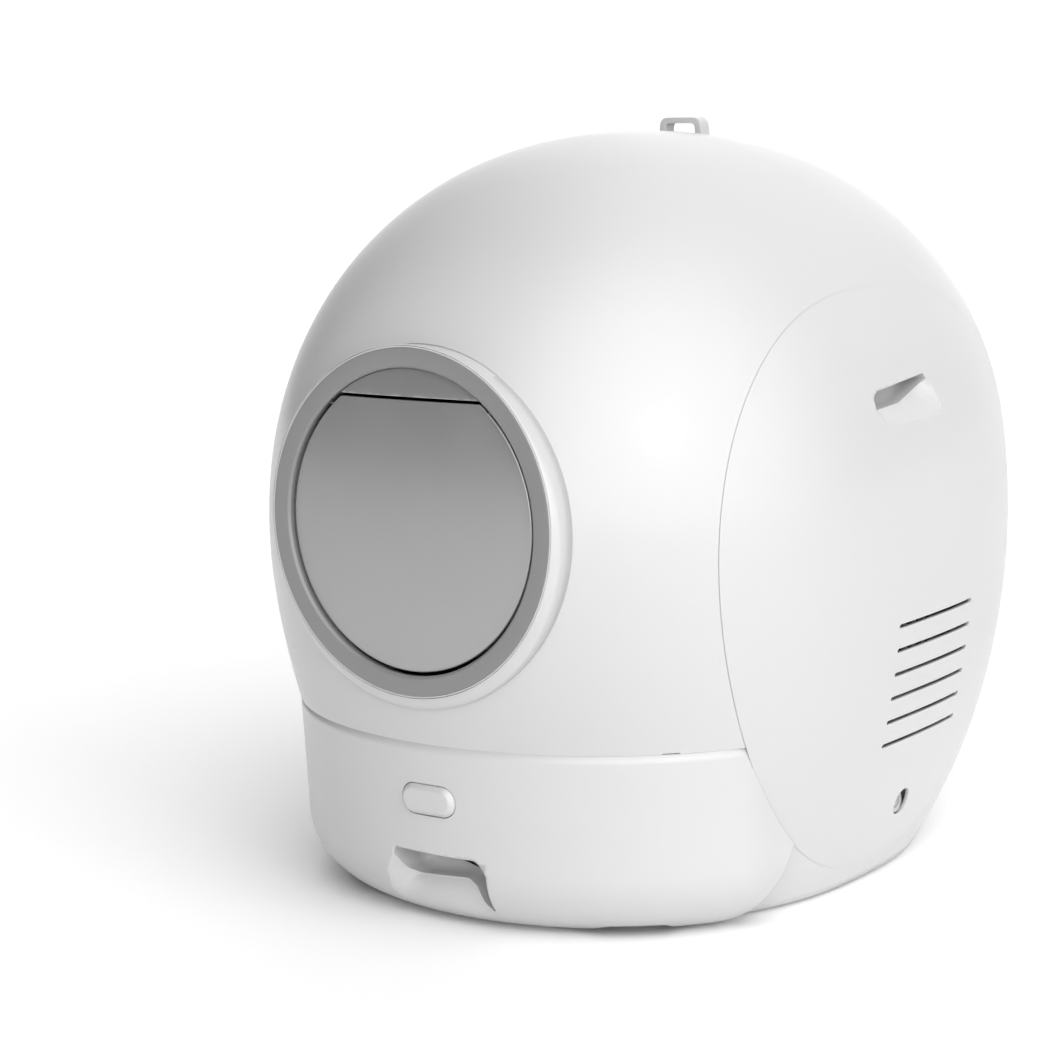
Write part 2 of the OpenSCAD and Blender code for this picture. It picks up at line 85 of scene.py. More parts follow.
# Grid densities of the moulded surfaces
LEVELS = 96               # rings from the floor to the crown
QUARTER = 48              # steps in a quarter of the housing's outline


# ---- The housing's surface ----
def fall(u, p):
    """Rounded fall-off from 1 at u = 0 to 0 at u = 1."""
    return np.maximum(0.0, 1 - np.clip(u, 0, 1) ** p) ** (1 / p)


def level(z, top, curve):
    """Share of the full half-size at height z."""
    widest, below, p_up, p_down = curve
    z = np.asarray(z, float)
    up = fall((z - widest) / (top - widest), p_up)
    down = fall((widest - z) / below, p_down)
    return np.where(z >= widest, up, down)


def half_w(z, t=0.0):
    """Half-width at height z, with the wall moved in by t."""
    return (BODY_W / 2 - t) * level(z, BODY_H - t, WIDTH_CURVE)


def front_d(z, t=0.0):
    """Depth from the widest section to the front at height z."""
    return (FRONT_DEPTH - t) * level(z, BODY_H - t, FRONT_CURVE)


def back_d(z, t=0.0):
    """Depth from the widest section to the back at height z."""
    return (BACK_DEPTH - t) * level(z, BODY_H - t, BACK_CURVE)


def skin_x(y, z):
    """Half-width of the housing's surface at a place on its side."""
    lean = y - WAIST_Y
    if lean < 0:
        return float(half_w(z)) * (1 - (-lean / float(front_d(z))) ** FRONT_POWER) ** 0.5
    return float(half_w(z)) * (1 - (lean / float(back_d(z))) ** BACK_POWER) ** (1 / BACK_POWER)


def arc_even(px, py, count):
    """Unit superellipse quarter |x|^px + |y|^py = 1 from (1, 0) to (0, 1), in even steps along its length."""
    a = np.linspace(0, math.pi / 2, 3000)
    x = np.cos(a) ** (2 / px)
    y = np.sin(a) ** (2 / py)
    run = np.concatenate([[0], np.cumsum(np.hypot(np.diff(x), np.diff(y)))])
    at = np.linspace(0, run[-1], count + 1)
    return np.interp(at, run, x), np.interp(at, run, y)


FRONT_X, FRONT_Y = arc_even(2.0, FRONT_POWER, QUARTER)
BACK_X, BACK_Y = arc_even(BACK_POWER, BACK_POWER, QUARTER)


def unit_outline():
    """The x and the y of the housing's unit outline, anticlockwise from +X."""
    x = np.concatenate([BACK_X, -BACK_X[::-1][1:], -FRONT_X[1:], FRONT_X[::-1][1:-1]])
    y = np.concatenate([BACK_Y, BACK_Y[::-1][1:], -FRONT_Y[1:], -FRONT_Y[::-1][1:-1]])
    return x, y


def grid_object(name, rings, crown=None):
    """Closed skin through rings of points, in millimetres, with a crown point or else a flat lid."""
    count = len(rings[0])
    points = [p for ring in rings for p in ring]
    faces = []
    for i in range(len(rings) - 1):
        for k in range(count):
            n = (k + 1) % count
            faces.append((i * count + k, i * count + n, (i + 1) * count + n, (i + 1) * count + k))
    last = (len(rings) - 1) * count
    faces.append(tuple(reversed(range(count))))
    if crown is None:
        faces.append(tuple(range(last, last + count)))
    else:
        points.append(crown)
        for k in range(count):
            faces.append((last + k, last + (k + 1) % count, len(points) - 1))
    return mesh_object(name, points, faces)


def mesh_object(name, points, faces):
    """An object from points in millimetres."""
    mesh = bpy.data.meshes.new(name)
    mesh.from_pydata([(p[0] * MM, p[1] * MM, p[2] * MM) for p in points], [], faces)
    mesh.validate()
    piece = bpy.data.objects.new(name, mesh)
    bpy.context.scene.collection.objects.link(piece)
    shell = bmesh.new()
    shell.from_mesh(mesh)
    bmesh.ops.recalc_face_normals(shell, faces=shell.faces)
    if shell.calc_volume(signed=True) < 0:
        bmesh.ops.reverse_faces(shell, faces=shell.faces)
    shell.to_mesh(mesh)
    shell.free()
    return piece


def egg(name, t=0.0):
    """The closed housing with its wall moved in by t."""
    ux, uy = unit_outline()
    top = BODY_H - t
    rings = []
    for i in range(LEVELS):
        z = top * math.sin(math.pi / 2 * i / LEVELS)
        depth = np.where(uy < 0, front_d(z, t), back_d(z, t))
        x = half_w(z, t) * ux
        y = WAIST_Y + depth * uy
        rings.append([(x[k], y[k], z) for k in range(len(ux))])
    return grid_object(name, rings, crown=(0, WAIST_Y, top))


# ---- The drawer front's surface ----
NOSE_CORNER = 9.0         # how far the flat sides' front corners are blended
CHIN_RINGS = 24           # steps up the round underside
NOSE_RINGS = 13           # steps from there to the seam


def chin_inset(z):
    """How far the round underside has drawn in at height z."""
    if z >= CHIN_ROUND:
        return 0.0
    return CHIN_ROUND * (1 - math.sqrt(1 - ((CHIN_ROUND - z) / CHIN_ROUND) ** 2))


def chin_y(x, z):
    """Front of the drawer's nose at a place across it."""
    shrink = NOSE_TAPER * (SEAM_Z - z) + chin_inset(z)
    w = float(half_w(SEAM_Z)) - shrink
    f = float(front_d(SEAM_Z)) - shrink
    return WAIST_Y - f * (1 - (x / w) ** 2) ** (1 / FRONT_POWER)


def soft_limit(value, limit, blend):
    """The smaller of the two, with their corner rounded over blend."""
    h = np.maximum(blend - np.abs(value - limit), 0) / blend
    return np.minimum(value, limit) - h * h * blend / 4


def chin(name, t, z_low, z_high, flat, flat_inset=0.0):
    """Nose of the drawer between two heights: flat sides with a soft corner and a round underside."""
    ux = np.concatenate([-FRONT_X, FRONT_X[::-1][1:]])
    uy = np.concatenate([-FRONT_Y, -FRONT_Y[::-1][1:]])
    rise = CHIN_ROUND - z_low
    curved = [z_low + rise * (1 - math.cos(math.pi / 2 * i / CHIN_RINGS)) for i in range(CHIN_RINGS + 1)]
    straight = list(np.linspace(CHIN_ROUND, z_high, NOSE_RINGS + 1)[1:])
    rings = []
    for z in curved + straight:
        inset = chin_inset(z)
        taper = NOSE_TAPER * (SEAM_Z - z)
        w = float(half_w(SEAM_Z)) - taper - inset - t
        f = float(front_d(SEAM_Z)) - taper - inset - t
        x = np.sign(ux) * soft_limit(np.abs(w * ux), flat - inset - flat_inset, NOSE_CORNER)
        y = WAIST_Y + f * uy
        rings.append([(x[k], y[k], z) for k in range(len(ux))])
    return grid_object(name, rings)


# ---- Cutters and joiners ----
SLIVER = 0.02             # edges shorter than this are dissolved after a cut
ON_SURFACE = 0.12         # a corner this near to an uncut surface lies on it


def block(name, low, high):
    """Box between two corners, in millimetres."""
    x0, y0, z0 = low
    x1, y1, z1 = high
    points = [(x0, y0, z0), (x1, y0, z0), (x1, y1, z0), (x0, y1, z0),
              (x0, y0, z1), (x1, y0, z1), (x1, y1, z1), (x0, y1, z1)]
    faces = [(3, 2, 1, 0), (4, 5, 6, 7), (0, 1, 5, 4), (1, 2, 6, 5), (2, 3, 7, 6), (3, 0, 4, 7)]
    return mesh_object(name, points, faces)


def across(side, near, far):
    """The lower and the upper x between two distances from the middle, on one side."""
    return sorted((side * near, side * far))


def prism_x(name, outline, x0, x1):
    """Outline of (y, z) points swept from x0 to x1."""
    rings = [[(x, y, z) for y, z in outline] for x in (x0, x1)]
    return grid_object(name, rings)


def prism_y(name, outline, y0, y1):
    """Outline of (x, z) points swept from y0 to y1."""
    rings = [[(x, y, z) for x, z in outline] for y in (y0, y1)]
    return grid_object(name, rings)


def apply_modifiers(piece):
    """Turns the piece's modifiers into plain mesh."""
    graph = bpy.context.evaluated_depsgraph_get()
    done = bpy.data.meshes.new_from_object(piece.evaluated_get(graph))
    piece.modifiers.clear()
    old = piece.data
    piece.data = done
    bpy.data.meshes.remove(old)


def combine(piece, tool, how, keep_tool=False):
    """Boolean of piece with tool: DIFFERENCE, INTERSECT or UNION."""
    step = piece.modifiers.new("cut", "BOOLEAN")
    step.operation = how
    step.object = tool
    step.solver = "MANIFOLD"
    apply_modifiers(piece)
    if not keep_tool:
        drop(tool)


def drop(piece):
    """Deletes a helper object."""
    mesh = piece.data
    bpy.data.objects.remove(piece)
    bpy.data.meshes.remove(mesh)


def tidy(piece, near=0.15):
    """Joins points closer than near millimetres, which booleans leave along a cut."""
    shell = bmesh.new()
    shell.from_mesh(piece.data)
    bmesh.ops.remove_doubles(shell, verts=shell.verts, dist=near * MM)
    bmesh.ops.dissolve_degenerate(shell, edges=shell.edges, dist=SLIVER * MM)
    shell.to_mesh(piece.data)
    shell.free()


def round_edges(piece, width, angle=35, segments=2):
    """Rounds the edges sharper than angle."""
    step = piece.modifiers.new("round", "BEVEL")
    step.width = width * MM
    step.segments = segments
    step.limit_method = "ANGLE"
    step.angle_limit = math.radians(angle)
    step.use_clamp_overlap = True
    apply_modifiers(piece)


def shade(piece, sources=(), sharp=35, agree=0.72):
    """Smooth shading; corners that lie on an uncut source surface, and agree with it, take its own normal."""
    mesh = piece.data
    mesh.shade_smooth()
    mesh.set_sharp_from_angle(angle=math.radians(sharp))
    if not sources:
        return
    trees = []
    for source in sources:
        body = source.data
        verts = [v.co.copy() for v in body.vertices]
        polys = [tuple(p.vertices) for p in body.polygons if len(p.vertices) <= 4]
        lifts = [v.normal.copy() for v in body.vertices]
        trees.append((BVHTree.FromPolygons(verts, polys), verts, polys, lifts))
    normals = [Vector(n.vector) for n in mesh.corner_normals]
    found = {}
    for poly in mesh.polygons:
        for loop in poly.loop_indices:
            vertex = mesh.loops[loop].vertex_index
            if vertex not in found:
                found[vertex] = surface_normal(mesh.vertices[vertex].co, trees)
            lift = found[vertex]
            if lift is not None and abs(lift.dot(poly.normal)) > agree:
                normals[loop] = lift if lift.dot(poly.normal) > 0 else -lift
    mesh.normals_split_custom_set([tuple(n) for n in normals])


def surface_normal(point, trees):
    """Blended normal of the source surface that the point lies on, or None."""
    best = None
    for tree, verts, polys, lifts in trees:
        spot, _, index, distance = tree.find_nearest(point, ON_SURFACE * MM)
        if spot is None or (best is not None and distance >= best[0]):
            continue
        poly = polys[index]
        weights = poly_3d_calc([verts[i] for i in poly], spot)
        total = Vector((0, 0, 0))
        for weight, i in zip(weights, poly):
            total += lifts[i] * weight
        best = (distance, total.normalized())
    return best[1] if best else None


# ---- Outlines ----
def turn(steps):
    """Even angles round a full turn."""
    return [2 * math.pi * k / steps for k in range(steps)]


def stadium(length, height, steps=12):
    """Closed stadium outline about the origin."""
    r = height / 2
    half = length / 2 - r
    points = []
    for centre, start in ((half, -90), (-half, 90)):
        for k in range(steps + 1):
            a = math.radians(start + 180 * k / steps)
            points.append((centre + r * math.cos(a), r * math.sin(a)))
    return points


def lathe(name, profile):
    """Ring turned from (radius, depth) points about the entrance's axis, before it is put in place."""
    rings = [[(r * math.cos(a), y, r * math.sin(a)) for r, y in profile] for a in turn(RING_STEPS)]
    count = len(profile)
    points = [p for ring in rings for p in ring]
    faces = []
    for i in range(RING_STEPS):
        j = (i + 1) % RING_STEPS
        for k in range(count):
            n = (k + 1) % count
            faces.append((i * count + k, j * count + k, j * count + n, i * count + n))
    return mesh_object(name, points, faces)


def fillet(points, radii, steps=5):
    """Rounds each corner of an outline by its own radius; 0 leaves a corner, or a line's end, as it is."""
    out = []
    n = len(points)
    for i, (p, r) in enumerate(zip(points, radii)):
        p = Vector(p)
        back = Vector(points[i - 1]) - p
        ahead = Vector(points[(i + 1) % n]) - p
        if r <= 0:
            out.append(tuple(p))
            continue
        angle = back.angle(ahead)
        reach = min(r / math.tan(angle / 2), back.length * 0.49, ahead.length * 0.49)
        start = p + back.normalized() * reach
        end = p + ahead.normalized() * reach
        for k in range(steps + 1):
            u = k / steps
            out.append(tuple(start * (1 - u) ** 2 + p * (2 * u * (1 - u)) + end * u * u))
    return out


# ---- The entrance's own frame ----
ring_low, ring_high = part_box("door_ring")
RING_R = (ring_high[0] - ring_low[0]) / 2 / MM
RING_FACE_W = 15.0
RING_BORE = RING_R - RING_FACE_W
RING_Z = 291.0            # centre of the ring's face
RING_Y = -288.5
RING_PLACE = Matrix.Translation((0, RING_Y * MM, RING_Z * MM)) @ Matrix.Rotation(-RING_TILT, 4, "X")


def in_ring(piece):
    """Moves a piece made about the origin into the ring's frame."""
    piece.data.transform(RING_PLACE)
    piece.data.update()
    return piece


# ---- Materials ----
NOISE_LOW, NOISE_HIGH = 0.3, 0.7      # most of a noise lies between these
DRIFT_SCALE = 9.0         # scales of the noises, per metre
GLOSS_SCALE = 12.0
GRAIN_SCALE = 260.0
STREAK_SCALE = 900.0
FOAM_SCALE = 420.0


def node_material(name):
    """A new material with its node tree and its shader."""
    material = bpy.data.materials.new(name)
    material.use_nodes = True
    tree = material.node_tree
    return material, tree, tree.nodes["Principled BSDF"]


def noise(tree, scale, detail=3.0, rough=0.5):
    """Noise in the object's own metres."""
    place = tree.nodes.new("ShaderNodeTexCoord")
    grain = tree.nodes.new("ShaderNodeTexNoise")
    grain.inputs["Scale"].default_value = scale
    grain.inputs["Detail"].default_value = detail
    grain.inputs["Roughness"].default_value = rough
    tree.links.new(place.outputs["Object"], grain.inputs["Vector"])
    return grain


def spread(tree, source, low, high):
    """Maps the middle range of a noise to low..high."""
    step = tree.nodes.new("ShaderNodeMapRange")
    step.inputs["From Min"].default_value = NOISE_LOW
    step.inputs["From Max"].default_value = NOISE_HIGH
    step.inputs["To Min"].default_value = low
    step.inputs["To Max"].default_value = high
    tree.links.new(source, step.inputs["Value"])
    return step.outputs["Result"]


def plastic(name, colour, rough, vary=0.012, grain=0.0, coat=0.0, shine=0.0):
    """Moulded plastic: faint tone drift and uneven gloss, with a surface grain where it has one."""
    material, tree, shader = node_material(name)
    drift = noise(tree, DRIFT_SCALE)
    ramp = tree.nodes.new("ShaderNodeValToRGB")
    ramp.color_ramp.elements[0].color = [max(0, c - 2 * vary) for c in colour] + [1]
    ramp.color_ramp.elements[1].color = [min(1, c + 2 * vary) for c in colour] + [1]
    tree.links.new(drift.outputs["Fac"], ramp.inputs["Fac"])
    tree.links.new(ramp.outputs["Color"], shader.inputs["Base Color"])
    gloss = noise(tree, GLOSS_SCALE, 2.0)
    uneven = spread(tree, gloss.outputs["Fac"], rough - 0.03, rough + 0.04)
    tree.links.new(uneven, shader.inputs["Roughness"])
    if grain > 0:
        fine = noise(tree, GRAIN_SCALE, 2.0, 0.6)
        bump = tree.nodes.new("ShaderNodeBump")
        bump.inputs["Strength"].default_value = grain
        bump.inputs["Distance"].default_value = 0.0002
        tree.links.new(fine.outputs["Fac"], bump.inputs["Height"])
        tree.links.new(bump.outputs["Normal"], shader.inputs["Normal"])
    shader.inputs["IOR"].default_value = 1.5
    shader.inputs["Metallic"].default_value = shine
    if coat > 0:
        shader.inputs["Coat Weight"].default_value = coat
        shader.inputs["Coat Roughness"].default_value = 0.16
    return material


def metal(name, colour, rough):
    """Drawn steel with fine streaks in its tone and gloss."""
    material, tree, shader = node_material(name)
    shader.inputs["Metallic"].default_value = 1.0
    streak = noise(tree, STREAK_SCALE, 4.0)
    ramp = tree.nodes.new("ShaderNodeValToRGB")
    ramp.color_ramp.elements[0].color = [c * 0.85 for c in colour] + [1]
    ramp.color_ramp.elements[1].color = list(colour) + [1]
    tree.links.new(streak.outputs["Fac"], ramp.inputs["Fac"])
    tree.links.new(ramp.outputs["Color"], shader.inputs["Base Color"])
    uneven = spread(tree, streak.outputs["Fac"], rough - 0.06, rough + 0.08)
    tree.links.new(uneven, shader.inputs["Roughness"])
    return material


def porous(name, colour):
    """Open activated-carbon foam, with painted shade in its pits."""
    material, tree, shader = node_material(name)
    cells = tree.nodes.new("ShaderNodeTexVoronoi")
    cells.inputs["Scale"].default_value = FOAM_SCALE
    place = tree.nodes.new("ShaderNodeTexCoord")
    tree.links.new(place.outputs["Object"], cells.inputs["Vector"])
    # The colour darkens to 0.3 of itself towards each cell's sunken middle: painted shade in the foam's pits.
    ramp = tree.nodes.new("ShaderNodeValToRGB")
    ramp.color_ramp.elements[0].color = [c * 0.3 for c in colour] + [1]
    ramp.color_ramp.elements[1].color = list(colour) + [1]
    tree.links.new(cells.outputs["Distance"], ramp.inputs["Fac"])
    tree.links.new(ramp.outputs["Color"], shader.inputs["Base Color"])
    bump = tree.nodes.new("ShaderNodeBump")
    bump.inputs["Strength"].default_value = 0.8
    bump.inputs["Distance"].default_value = 0.001
    tree.links.new(cells.outputs["Distance"], bump.inputs["Height"])
    tree.links.new(bump.outputs["Normal"], shader.inputs["Normal"])
    tree.links.new(spread(tree, cells.outputs["Distance"], 0.8, 0.95), shader.inputs["Roughness"])
    return material


WHITE = plastic("white_abs", (0.48, 0.48, 0.483), 0.34, vary=0.004, coat=0.3)
PALE = plastic("pale_pp", (0.4, 0.4, 0.405), 0.42)
GREY = plastic("grey_abs", (0.19, 0.19, 0.192), 0.4, vary=0.006, coat=0.25)
FLAP = plastic("flap_grey", (0.35, 0.35, 0.353), 0.33, vary=0.005, coat=0.3, shine=0.6)
DARK_STEEL = metal("dark_steel", (0.16, 0.16, 0.165), 0.4)
STEEL = metal("drawn_steel", (0.62, 0.62, 0.63), 0.28)
RUBBER = plastic("rubber_black", (0.03, 0.03, 0.03), 0.75, grain=0.3)
CARBON = porous("carbon_foam", (0.05, 0.05, 0.05))


def finish_piece(piece, body, material, slot, *nodes):
    """Gives a piece its material and its body, and hides the CAD nodes it stands for."""
    piece.data.materials.clear()
    piece.data.materials.append(material)
    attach(piece, body)
    if nodes:
        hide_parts(*nodes)


# ---- Uncut surfaces, kept for shading until the end ----
SKIN = egg("uncut_skin")
SKIN_INNER = egg("uncut_inner", WALL)


def copy_of(source, name):
    """A separate copy of an uncut surface to cut."""
    piece = bpy.data.objects.new(name, source.data.copy())
    bpy.context.scene.collection.objects.link(piece)
    return piece


# ---- Pockets ----
SCOOP_STEPS = 90          # places along each edge of a scoop
SCOOP_LIP = 0.9           # radius of a scoop's outer edge
SCOOP_CLEAR = 14.0        # how far a cutter stands out of the surface
SCOOP_PAST = 2.0          # how far a ramp's cutter reaches past its crease
RAMP_EASE = 0.06          # share of a ramp over which it bends down from its mouth
CUP_WALL = 2.0            # wall of the finger pocket behind a scoop

# Section of a scoop's upper rim: places out from its outline and sunk into the surface, in lip radii
RIM_SECTION = ((1.4, -0.1), (0.62, 0.1), (0.3, 0.32), (0.08, 0.66), (0.0, 1.0))


def along(points, radii):
    """Evenly spaced places along an open line with rounded corners."""
    path = np.array(fillet(points, radii))
    run = np.concatenate([[0], np.cumsum(np.linalg.norm(np.diff(path, axis=0), axis=1))])
    at = np.linspace(0, run[-1], SCOOP_STEPS)
    return np.stack([np.interp(at, run, path[:, i]) for i in range(3)], axis=1)


def outward(outline, grow):
    """A closed anticlockwise (a, b) outline moved out by grow."""
    before, after = np.roll(outline, 1, axis=0), np.roll(outline, -1, axis=0)
    run = after - before
    run = run / np.maximum(np.linalg.norm(run, axis=1), 1e-6)[:, None]
    return outline + grow * np.stack([run[:, 1], -run[:, 0]], axis=1)


def recess_tool(name, place, rim, crease, deep, grow):
    """Deep straight part of a scoop, between its rim and its crease."""
    outline = np.concatenate([rim[:, :2], crease[::-1, :2]])[::-1]
    widest = RIM_SECTION[0][0] * SCOOP_LIP + grow
    rings = [[place(a, b, -SCOOP_CLEAR) for a, b in outward(outline, widest)]]
    for share, sink in RIM_SECTION:
        ring = outward(outline, SCOOP_LIP * share + grow)
        rings.append([place(a, b, SCOOP_LIP * sink) for a, b in ring])
    ring = outward(outline, grow)
    rings += [[place(a, b, (deep + grow) * u) for a, b in ring] for u in (0.25, 0.5, 0.75, 1.0)]
    return grid_object(name, rings)


def dish_tool(name, place, mouth, crease, grow):
    """Ramp of a scoop, from the open part of its mouth down to its crease and a little past it."""
    lead = np.gradient(crease[:, :2], axis=0)
    lead = lead / np.linalg.norm(lead, axis=1)[:, None]
    past = crease.copy()
    reach = SCOOP_PAST * np.sin(np.linspace(0, math.pi, SCOOP_STEPS)) ** 0.5
    past[:, 0] -= lead[:, 1] * reach
    past[:, 1] += lead[:, 0] * reach
    rings = []
    for m, c, p in zip(mouth, crease, past):
        span = np.array([m[0] - c[0], m[1] - c[1]])
        span = span / max(np.linalg.norm(span), 1e-6)
        out = m[:2] + span * (SCOOP_LIP + grow)
        ring = [place(out[0], out[1], -SCOOP_CLEAR), place(out[0], out[1], grow - 0.1)]
        for u in np.linspace(0.05, 1, 13):
            a, b = m[:2] * (1 - u) + c[:2] * u
            sunk = c[2] * (1 + RAMP_EASE) * u * u / (u + RAMP_EASE)
            ring.append(place(a, b, grow + sunk))
        ring += [place(p[0], p[1], grow + c[2]), place(p[0], p[1], -SCOOP_CLEAR)]
        rings.append(ring)
    return grid_object(name, rings)


def scoop_tools(name, place, shape, grow=0.0):
    """Cutters for a finger scoop: its ramp and the deep recess behind it."""
    rim, mouth, crease, deep = shape
    return [dish_tool(name + "_dish", place, mouth, crease, grow),
            recess_tool(name + "_recess", place, rim, crease, deep, grow)]


# Each scoop: upper rim, open part of the mouth and crease, from one end to the other, and the recess's depth.
# A point is its place along and up the surface and its depth below it.
DRAWER_SCOOP = (
    along([(-36, 53, 0), (-34, 56.4, 0), (37, 55.6, 0), (43.6, 46, 0), (42.3, 18, 0)],
          [0, 2, 6, 8, 0]),
    along([(-36, 52.5, 0), (-43.5, 38, 0), (-46, 22, 0), (-40, 11, 0), (35, 11.5, 0), (42, 17.5, 0)],
          [0, 10, 10, 9, 6, 0]),
    along([(-36, 50, 1), (-33, 38.5, 10), (-26, 34.2, 16), (18, 37.3, 16), (26, 33, 13), (34, 22, 5),
           (41, 17.4, 1)],
          [0, 6, 8, 6, 6, 6, 0]),
    33.0)
GRIP_SCOOP = (
    along([(-54.6, 352, 0), (-54.8, 360, 0), (-48.5, 364, 0), (18.5, 369, 0), (21.5, 365, 0)],
          [0, 3, 4, 2, 0]),
    along([(-54.2, 351, 0), (-45, 338.8, 0), (29, 340.6, 0), (32.4, 348, 0), (21.6, 364.8, 0)],
          [0, 6, 5, 6, 0]),
    along([(-53.8, 351.4, 1), (-49.8, 351.2, 3), (-13, 351.6, 8), (6, 356.7, 8), (18, 362, 5),
           (21.4, 364.4, 1)],
          [0, 4, 14, 14, 6, 0]),
    22.0)


def drawer_scoop(name, grow=0.0):
    """Cutters for the drawer front's scoop."""
    return scoop_tools(name, lambda a, b, depth: (a, chin_y(a, b) + depth, b), DRAWER_SCOOP, grow)


def grip_scoop(name, side, grow=0.0):
    """Cutters for a side cover's scoop."""
    return scoop_tools(name, lambda a, b, depth: (side * (skin_x(a, b) - depth), a, b), GRIP_SCOOP, grow)


# ---- Hood ----
RIM_GAP = 0.3             # between the door ring and the hood's rim round it
RIM_W = 1.1               # from the ring to the rim's outer edge at its face
FLARE_W = 3.1             # how much wider the rim's foot is
PRY_X = 163               # middle of each pry slit under the hood's front corners
PRY_Y = -217
PRY_L, PRY_W = 12, 9      # along the seam and into the hood
WINDOW_X = (186, 200)     # opening behind each cover, for its filter
WINDOW_Y = (-39, 57)
WINDOW_Z = (152, 200)


def ring_skirt():
    """Rim of the hood round the door ring: it flares out, most of all below, towards its foot."""
    profile = [(0.01, 0.4, 0), (RING_R + RIM_GAP, 0.4, 0), (RING_R + 0.8, 0.55, 0), (RING_R + RIM_W, 1.0, 0)]
    for u in np.linspace(0.1, 1, 10):
        flare = 1 - (1 - u) ** 2
        profile.append((RING_R + RIM_W + FLARE_W * flare, 1 + 6 * u, SKIRT_DROP * flare))
    profile.append((RING_R + RIM_W + FLARE_W, 24, SKIRT_DROP))
    rings = []
    for r, depth, low in profile:
        rings.append([(r * math.cos(a), depth, r * math.sin(a) - low) for a in turn(RING_STEPS)])
    return in_ring(grid_object("ring_skirt", rings))


def make_hood():
    """Upper dome with its flat cheeks, entrance hole and seam."""
    outer = copy_of(SKIN, "hood")
    flat = FLAT_X - 1
    combine(outer, block("trim", (-flat, -OUT_Y, SEAM_Z), (flat, OUT_Y, OUT_Z)), "INTERSECT")
    skirt = ring_skirt()
    combine(outer, skirt, "UNION", keep_tool=True)
    inner = copy_of(SKIN_INNER, "hood_inner")
    inset = flat - WALL
    combine(inner, block("trim", (-inset, -OUT_Y, SEAM_Z - 8), (inset, OUT_Y, OUT_Z)), "INTERSECT")
    combine(outer, inner, "DIFFERENCE")
    hole_r = RING_R + RIM_GAP
    hole = [[(hole_r * math.cos(a), y, hole_r * math.sin(a)) for a in turn(RING_STEPS)] for y in (-40, 70)]
    combine(outer, in_ring(grid_object("hole", hole)), "DIFFERENCE")
    for side in (-1, 1):
        low_x, high_x = across(side, *WINDOW_X)
        low, high = (low_x, WINDOW_Y[0], WINDOW_Z[0]), (high_x, WINDOW_Y[1], WINDOW_Z[1])
        combine(outer, block("window", low, high), "DIFFERENCE")
        slit = block("pry_slit", (-PRY_L / 2, -PRY_W / 2, -1.0), (PRY_L / 2, PRY_W / 2, 0.9))
        slit.data.transform(Matrix.Translation((side * PRY_X * MM, PRY_Y * MM, SEAM_Z * MM))
                            @ Matrix.Rotation(side * math.radians(45), 4, "Z"))
        combine(outer, slit, "DIFFERENCE")
    tidy(outer)
    round_edges(outer, 0.25, angle=40)
    shade(outer, (SKIN, SKIN_INNER, skirt))
    drop(skirt)
    finish_piece(outer, "hood", WHITE, "white_plastic", "hood_shell")


# ---- Side covers ----
SLOTS = 6                 # vent slots, from the lowest up
SLOT_PITCH = 17.6
SLOT_LOW_Z = 111.0
SLOT_Y = 9.0
SLOT_L = 110
SLOT_H = 3.0
LOCK_Y = 7.5
LOCK_Z = 57.0
LOCK_R = 10.0
THROUGH = (190, 270)      # a cutter between these passes through a cover


def make_cover(side):
    """Domed oval side cover with its carrying scoop, vent slots and lock opening."""
    label = "right" if side > 0 else "left"
    cover = copy_of(SKIN, "side_cover_" + label + "_skin")
    low_x, high_x = across(side, FLAT_X - 0.35, OUT_X)
    combine(cover, block("trim", (low_x, -OUT_Y, -5), (high_x, OUT_Y, OUT_Z)), "INTERSECT")
    inner = copy_of(SKIN_INNER, "cover_inner")
    low_x, high_x = across(side, FLAT_X - 3, OUT_X)
    combine(inner, block("trim", (low_x, -OUT_Y, -5), (high_x, OUT_Y, OUT_Z)), "INTERSECT")
    combine(cover, inner, "DIFFERENCE")
    for cup in grip_scoop("cup", side, CUP_WALL):
        combine(cup, copy_of(SKIN, "cup_trim"), "INTERSECT")
        low_x, high_x = across(side, FLAT_X, OUT_X)
        combine(cup, block("cup_flat", (low_x, -OUT_Y, 0), (high_x, OUT_Y, OUT_Z)), "INTERSECT")
        combine(cover, cup, "UNION")
    scoop = grip_scoop("scoop", side)
    for tool in scoop:
        combine(cover, tool, "DIFFERENCE", keep_tool=True)
    low_x, high_x = across(side, *THROUGH)
    for i in range(SLOTS):
        outline = [(SLOT_Y + y, SLOT_LOW_Z + i * SLOT_PITCH + z) for y, z in stadium(SLOT_L, SLOT_H)]
        combine(cover, prism_x("slot", outline, low_x, high_x), "DIFFERENCE")
    opening = [(LOCK_Y + LOCK_R * math.cos(a), LOCK_Z + LOCK_R * math.sin(a)) for a in turn(48)]
    combine(cover, prism_x("lock", opening, low_x, high_x), "DIFFERENCE")
    tidy(cover, 0.1)
    round_edges(cover, 0.3, angle=42)
    shade(cover, (SKIN, SKIN_INNER, *scoop), agree=0.6)
    for tool in scoop:
        drop(tool)
    finish_piece(cover, "hood", WHITE, "white_plastic", "side_cover_" + label, "grip_cup_" + label)


